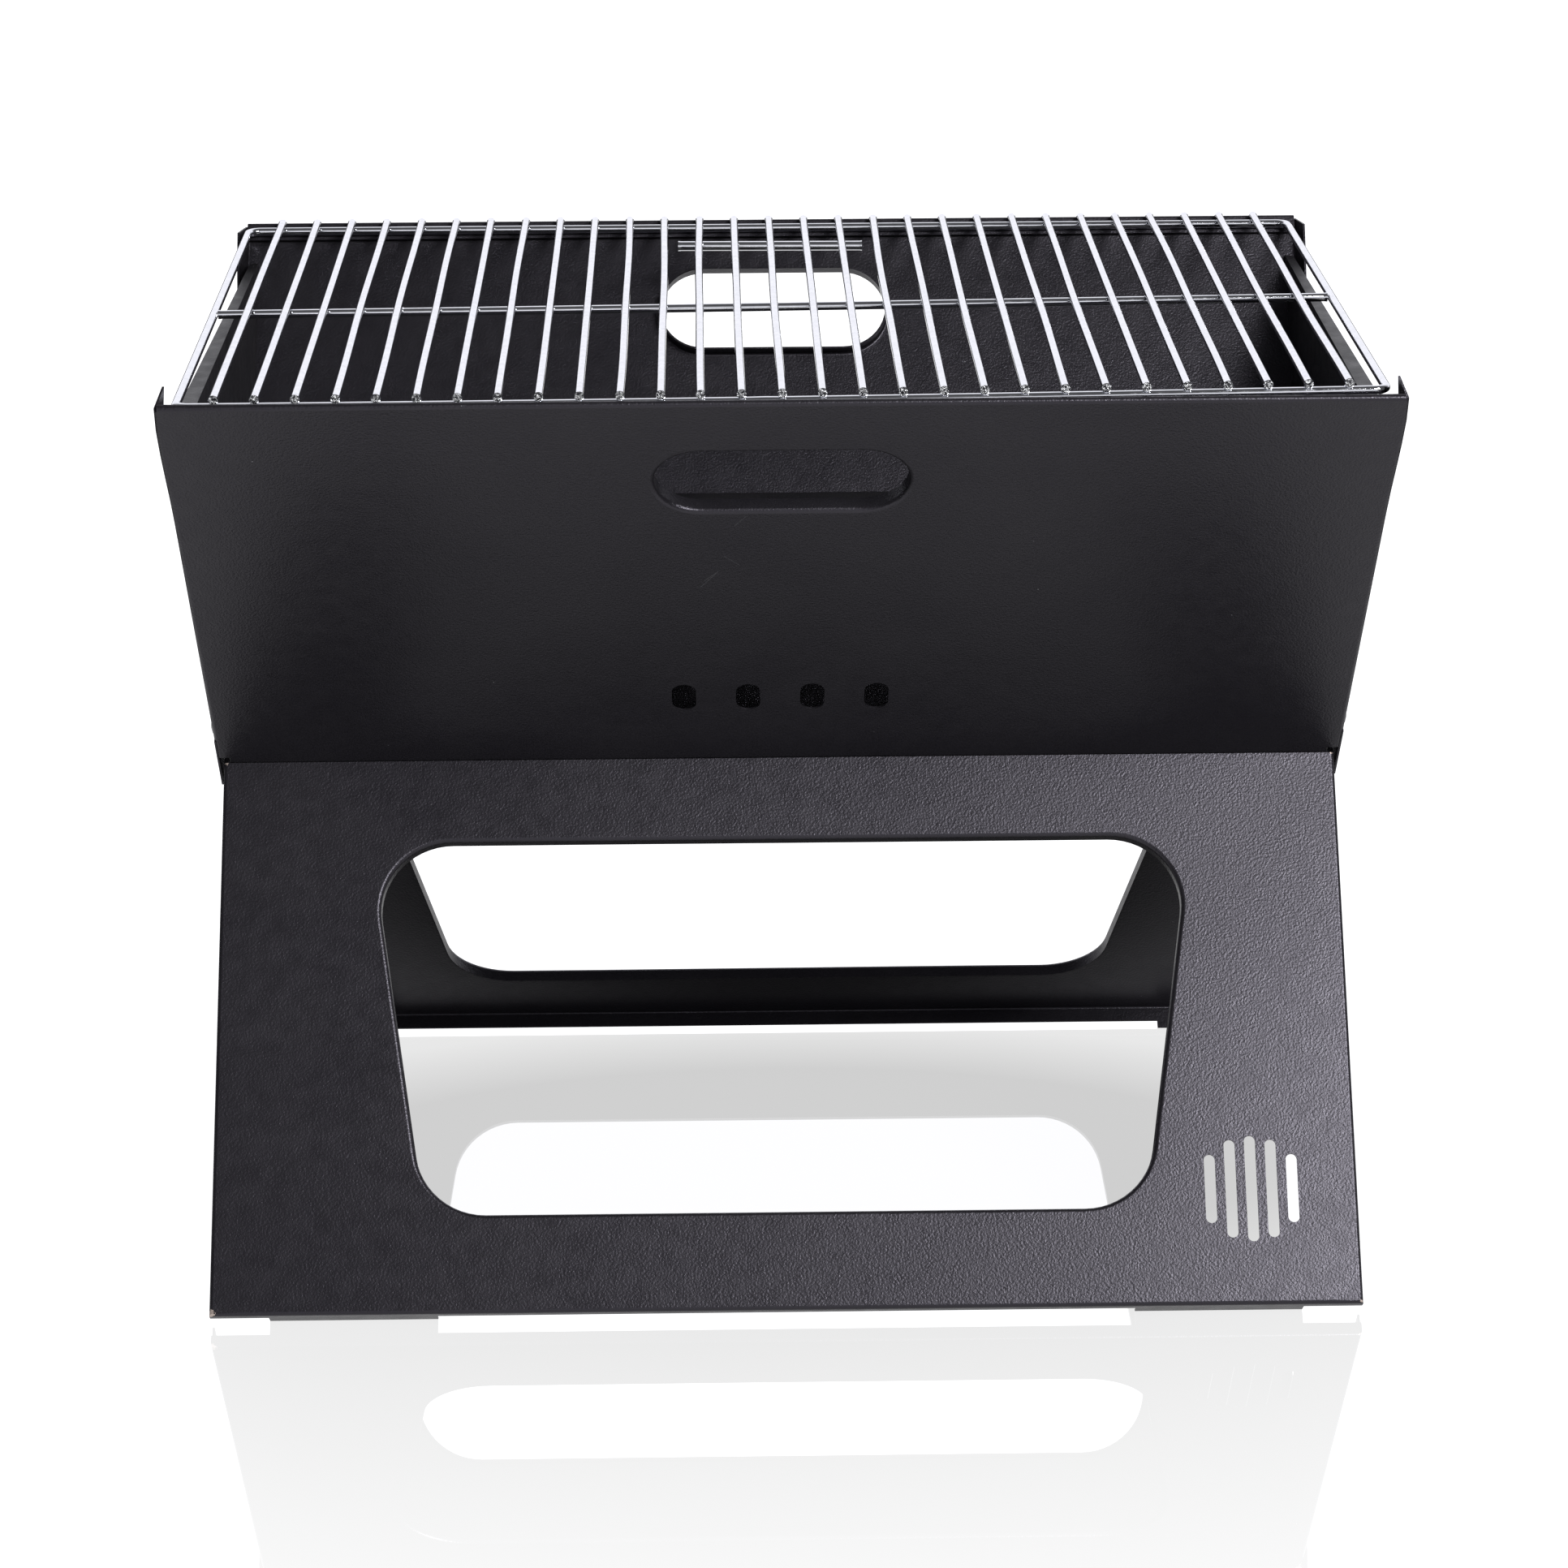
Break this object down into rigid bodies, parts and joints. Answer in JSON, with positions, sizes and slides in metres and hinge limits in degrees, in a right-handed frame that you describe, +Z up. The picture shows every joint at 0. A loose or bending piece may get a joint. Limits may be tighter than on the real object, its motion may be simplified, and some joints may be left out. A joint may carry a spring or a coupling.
{
  "type": "folding camp grill",
  "caption": "X-shaped folding charcoal grill of black sheet steel: two crossed panel frames on side rivets hold a hinged charcoal insert and a chromed wire cooking grid.",
  "frame": {"origin": "on the ground, under the middle of the grill", "axes": "+X along the pivot axis to the right, +Y to the back, +Z up"},
  "size_m": [0.4536, 0.3076, 0.3711],
  "materials": {
    "black_sheet": "fine-textured satin powder coat",
    "insert_sheet": "satin heat-proof paint",
    "chrome_wire": "bright chrome plate",
    "rivet_steel": "zinc-plated steel"
  },
  "bodies": {
    "frame_a": {"front_upper_panel": "black_sheet", "rear_lower_panel": "black_sheet", "outer_frame_rivets": "rivet_steel", "pivot_rivets": "rivet_steel", "pivot_washers": "rivet_steel"},
    "frame_b": {"rear_upper_panel": "black_sheet", "front_lower_panel": "black_sheet", "inner_frame_rivets": "rivet_steel"},
    "charcoal_insert": {"charcoal_grate": "insert_sheet", "left_hinge_pin": "rivet_steel", "right_hinge_pin": "rivet_steel"},
    "left_end_plate": {"left_end_plate": "insert_sheet"},
    "right_end_plate": {"right_end_plate": "insert_sheet"},
    "cooking_grid": {"grid_frame_wire": "chrome_wire", "grid_rods": "chrome_wire", "grid_middle_bar": "chrome_wire", "grid_grip_bar": "chrome_wire"}
  },
  "joints": [
    {"name": "fold", "type": "hinge", "parent": "frame_a", "child": "frame_b", "pos_m": [0, 0, 0.18468], "axis": [1, 0, 0], "range_deg": [0, 75]},
    {"name": "insert_lift", "type": "slide", "parent": "frame_a", "child": "charcoal_insert", "axis": [0, 0, 1], "range_m": [0, 0.6]},
    {"name": "left_end_fold", "type": "hinge", "parent": "charcoal_insert", "child": "left_end_plate", "pos_m": [-0.2136, 0, 0.26638], "axis": [0, 1, 0], "range_deg": [0, 90.5]},
    {"name": "right_end_fold", "type": "hinge", "parent": "charcoal_insert", "child": "right_end_plate", "pos_m": [0.2136, 0, 0.26638], "axis": [0, -1, 0], "range_deg": [0, 90.5]},
    {"name": "grid_lift", "type": "slide", "parent": "charcoal_insert", "child": "cooking_grid", "axis": [0, 0, 1], "range_m": [0, 0.15]}
  ],
  "couplings": [
    {"joint": "insert_lift", "follows": "fold", "m_per_rad": 0.45},
    {"joint": "left_end_fold", "follows": "fold", "ratio": 1.2},
    {"joint": "right_end_fold", "follows": "fold", "ratio": 1.2}
  ]
}
